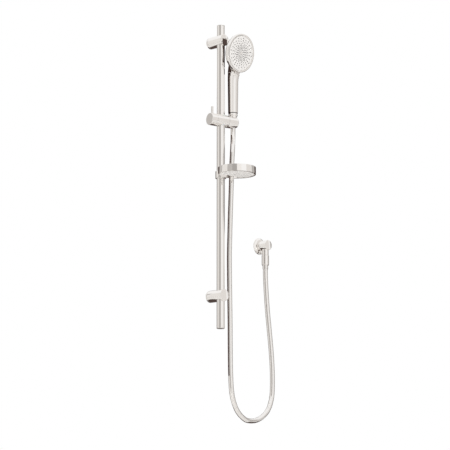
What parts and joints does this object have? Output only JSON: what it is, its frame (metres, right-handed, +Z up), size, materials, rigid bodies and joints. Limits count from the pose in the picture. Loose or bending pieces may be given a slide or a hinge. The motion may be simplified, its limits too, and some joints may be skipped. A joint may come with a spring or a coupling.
{
  "type": "handheld shower rail set",
  "caption": "Hand shower on a riser rail: round handset in a clamped swivelling slider, ring soap dish, smooth flexible hose and round wall elbow.",
  "frame": {"origin": "centre of the upper post's wall plate, on the wall surface", "axes": "+Y points into the wall, +Z is up along the rail, +X is to the right seen from the room"},
  "size_m": [0.3041, 0.1735, 1.1895],
  "materials": {
    "rail_tube": "polished chrome plate",
    "rail_top_cap": "chrome-plated ABS",
    "rail_bottom_cap": "chrome-plated ABS",
    "upper_wall_plate": "machined stainless steel",
    "lower_wall_plate": "machined stainless steel",
    "upper_post": "polished chrome plate",
    "lower_post": "polished chrome plate",
    "upper_grub_screw": "machined stainless steel",
    "lower_grub_screw": "machined stainless steel",
    "elbow_flange": "polished chrome plate",
    "elbow_body": "polished chrome plate",
    "check_valve": "moulded white acetal",
    "lower_washer": "moulded black rubber",
    "lower_ferrule": "machined stainless steel",
    "hose": "smooth silver PVC",
    "slider_bush": "moulded white acetal",
    "slider_body": "polished chrome plate",
    "holder_axle": "machined stainless steel",
    "friction_washer": "moulded black rubber",
    "clamp_knob": "polished chrome plate",
    "lever_pin": "polished chrome plate",
    "clamp_screw": "machined stainless steel",
    "clamp_pad": "moulded black rubber",
    "holder": "polished chrome plate",
    "handle_shell": "chrome-plated ABS",
    "handle_spigot": "turned brass",
    "water_tube": "moulded white acetal",
    "water_chamber": "moulded white acetal",
    "chamber_seal": "moulded black rubber",
    "spray_face": "moulded pale plastic",
    "nozzle_mat": "moulded grey silicone",
    "face_ring": "chrome-plated ABS",
    "centre_screw": "polished chrome plate",
    "upper_washer": "moulded black rubber",
    "upper_ferrule": "machined stainless steel",
    "selector_ring": "chrome-plated ABS",
    "diverter_disc": "moulded white acetal",
    "cone_nut": "polished chrome plate",
    "elbow_nut": "polished chrome plate",
    "dish_bush": "moulded white acetal",
    "dish_carrier": "polished chrome plate",
    "dish_tray": "frosted moulded plastic"
  },
  "bodies": {
    "root": {"rail_tube": "rail_tube", "rail_top_cap": "rail_top_cap", "rail_bottom_cap": "rail_bottom_cap", "upper_wall_plate": "upper_wall_plate", "lower_wall_plate": "lower_wall_plate", "upper_post": "upper_post", "lower_post": "lower_post", "upper_grub_screw": "upper_grub_screw", "lower_grub_screw": "lower_grub_screw", "elbow_flange": "elbow_flange", "elbow_body": "elbow_body", "check_valve": "check_valve", "lower_washer": "lower_washer", "lower_ferrule": "lower_ferrule", "hose": "hose"},
    "slider_sleeve": {"slider_bush": "slider_bush"},
    "slider": {"slider_body": "slider_body", "holder_axle": "holder_axle", "friction_washer": "friction_washer"},
    "clamp_knob": {"clamp_knob": "clamp_knob", "lever_pin": "lever_pin", "clamp_screw": "clamp_screw"},
    "clamp_pad": {"clamp_pad": "clamp_pad"},
    "holder": {"holder": "holder"},
    "handset": {"handle_shell": "handle_shell", "handle_spigot": "handle_spigot", "water_tube": "water_tube", "water_chamber": "water_chamber", "chamber_seal": "chamber_seal", "spray_face": "spray_face", "nozzle_mat": "nozzle_mat", "face_ring": "face_ring", "centre_screw": "centre_screw", "upper_washer": "upper_washer", "upper_ferrule": "upper_ferrule"},
    "selector": {"selector_ring": "selector_ring", "diverter_disc": "diverter_disc"},
    "cone_nut": {"cone_nut": "cone_nut"},
    "elbow_nut": {"elbow_nut": "elbow_nut"},
    "dish_sleeve": {"dish_bush": "dish_bush"},
    "dish": {"dish_carrier": "dish_carrier"},
    "tray": {"dish_tray": "dish_tray"}
  },
  "joints": [
    {"name": "slider_height", "type": "slide", "parent": "root", "child": "slider_sleeve", "axis": [0, 0, 1], "range_m": [-0.05, 0.01], "deforming": ["hose"]},
    {"name": "slider_swivel", "type": "hinge", "parent": "slider_sleeve", "child": "slider", "pos_m": [0, -0.045, -0.2477], "axis": [0, 0, 1], "range_deg": [-30, 30], "deforming": ["hose"]},
    {"name": "clamp_turn", "type": "hinge", "parent": "slider", "child": "clamp_knob", "pos_m": [0, -0.045, -0.2477], "axis": [0.9848, -0.1736, 0], "range_deg": [0, 90]},
    {"name": "clamp_pad_travel", "type": "slide", "parent": "slider", "child": "clamp_pad", "axis": [-0.9848, 0.1736, 0], "range_m": [0, 0.0004]},
    {"name": "holder_tilt", "type": "hinge", "parent": "slider", "child": "holder", "pos_m": [0, -0.045, -0.2477], "axis": [0.9848, -0.1736, 0], "range_deg": [0, 40], "deforming": ["hose"]},
    {"name": "handset_lift", "type": "slide", "parent": "holder", "child": "handset", "axis": [0, 0, 1], "range_m": [0, 0.028], "deforming": ["hose"]},
    {"name": "spray_selector", "type": "hinge", "parent": "handset", "child": "selector", "pos_m": [0.0461, -0.08677, -0.0373], "axis": [0.0512, -0.9768, -0.2079], "range_deg": [-25, 25]},
    {"name": "cone_nut_turn", "type": "hinge", "parent": "handset", "child": "cone_nut", "pos_m": [0.04432, -0.05281, -0.24], "axis": [0, 0, 1], "continuous": true},
    {"name": "elbow_nut_turn", "type": "hinge", "parent": "root", "child": "elbow_nut", "pos_m": [0.213, -0.026, -0.64], "axis": [0, 0, 1], "continuous": true},
    {"name": "dish_height", "type": "slide", "parent": "root", "child": "dish_sleeve", "axis": [0, 0, 1], "range_m": [-0.06, 0.02], "deforming": ["hose"]},
    {"name": "dish_swivel", "type": "hinge", "parent": "dish_sleeve", "child": "dish", "pos_m": [0, -0.045, -0.4137], "axis": [0, 0, 1], "range_deg": [-3, 40], "deforming": ["hose"]},
    {"name": "tray_lift", "type": "slide", "parent": "dish", "child": "tray", "axis": [0, 0, 1], "range_m": [0, 0.04]}
  ],
  "couplings": [
    {"joint": "clamp_pad_travel", "follows": "clamp_turn", "m_per_rad": 0.00019894}
  ]
}
